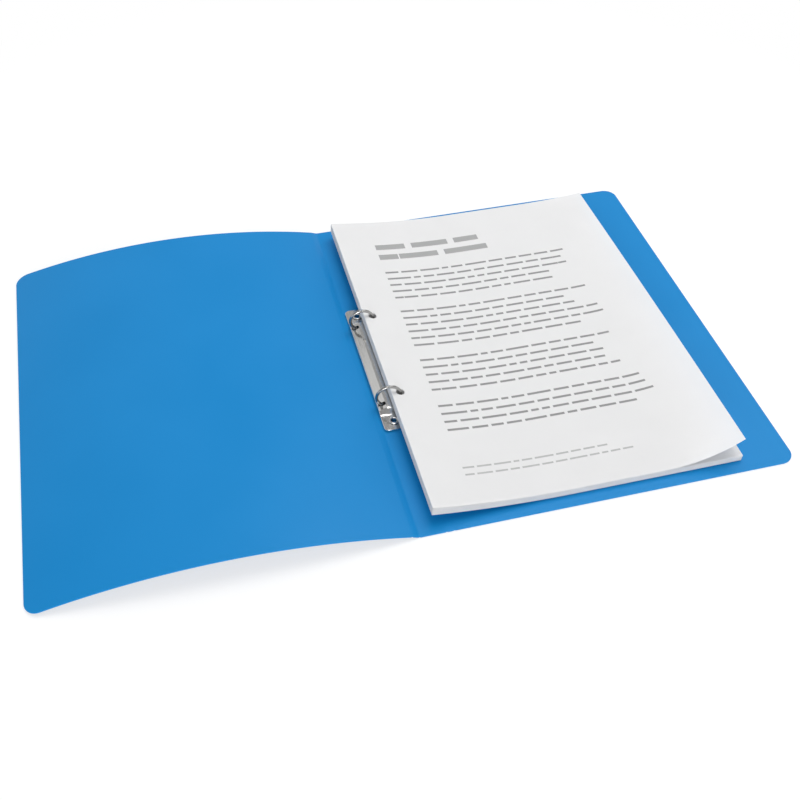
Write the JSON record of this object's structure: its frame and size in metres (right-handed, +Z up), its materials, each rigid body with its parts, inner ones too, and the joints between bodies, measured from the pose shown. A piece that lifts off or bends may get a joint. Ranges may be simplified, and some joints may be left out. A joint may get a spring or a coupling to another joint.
{
  "type": "ring binder",
  "caption": "Ring binder lying open: creased plastic cover with a bowed front, riveted ring mechanism with opening rings, and a stack of punched sheets on the rings.",
  "frame": {"origin": "middle of the spine, on the surface that the open binder lies on", "axes": "+X across the back cover to its free edge, +Y to the top of the pages, +Z up from the table"},
  "size_m": [0.488, 0.316, 0.0219],
  "materials": {
    "cover": "satin blue polypropylene sheet",
    "nickel": "bright nickel plate",
    "blade_steel": "plain steel strip",
    "rivet_cap": "blue lacquer",
    "paper": "white office paper"
  },
  "bodies": {
    "back_cover": {"back_cover": "cover"},
    "spine": {"spine_panel": "cover", "back_crease_strip": "cover", "ring_plate": "nickel", "upper_eyelet": "nickel", "lower_eyelet": "nickel", "upper_rivet_cap": "rivet_cap", "lower_rivet_cap": "rivet_cap"},
    "front_strip": {"front_crease_strip": "cover"},
    "front_cover": {"front_cover": "cover"},
    "left_jaw": {"left_blade": "blade_steel", "upper_left_ring": "nickel", "lower_left_ring": "nickel"},
    "right_jaw": {"right_blade": "blade_steel", "upper_right_ring": "nickel", "lower_right_ring": "nickel"},
    "sheets": {"sheaf_1": "paper", "sheaf_2": "paper", "sheaf_3": "paper", "sheaf_4": "paper", "sheaf_5": "paper", "top_sheet": "paper"}
  },
  "joints": [
    {"name": "back_fold", "type": "hinge", "parent": "back_cover", "child": "spine", "pos_m": [0.0134, 0, 0.001], "axis": [0, 1, 0], "range_deg": [0, 90]},
    {"name": "front_strip_fold", "type": "hinge", "parent": "spine", "child": "front_strip", "pos_m": [-0.0086, 0, 0.001], "axis": [0, 1, 0], "range_deg": [0, 24]},
    {"name": "front_cover_fold", "type": "hinge", "parent": "front_strip", "child": "front_cover", "pos_m": [-0.01308, 0, 0.00272], "axis": [0, 1, 0], "range_deg": [0, 60]},
    {"name": "left_jaw_turn", "type": "hinge", "parent": "spine", "child": "left_jaw", "pos_m": [-0.0067, -0.0062, 0.0026], "axis": [0, -1, 0], "range_deg": [0, 6]},
    {"name": "right_jaw_turn", "type": "hinge", "parent": "spine", "child": "right_jaw", "pos_m": [0.0067, -0.0062, 0.0026], "axis": [0, 1, 0], "range_deg": [0, 6]},
    {"name": "sheets_swing", "type": "hinge", "parent": "spine", "child": "sheets", "pos_m": [0, -0.0062, 0.01196], "axis": [0, -1, 0], "range_deg": [0, 90]}
  ],
  "couplings": [
    {"joint": "sheets_swing", "follows": "back_fold", "ratio": 1},
    {"joint": "right_jaw_turn", "follows": "left_jaw_turn", "ratio": 1}
  ]
}
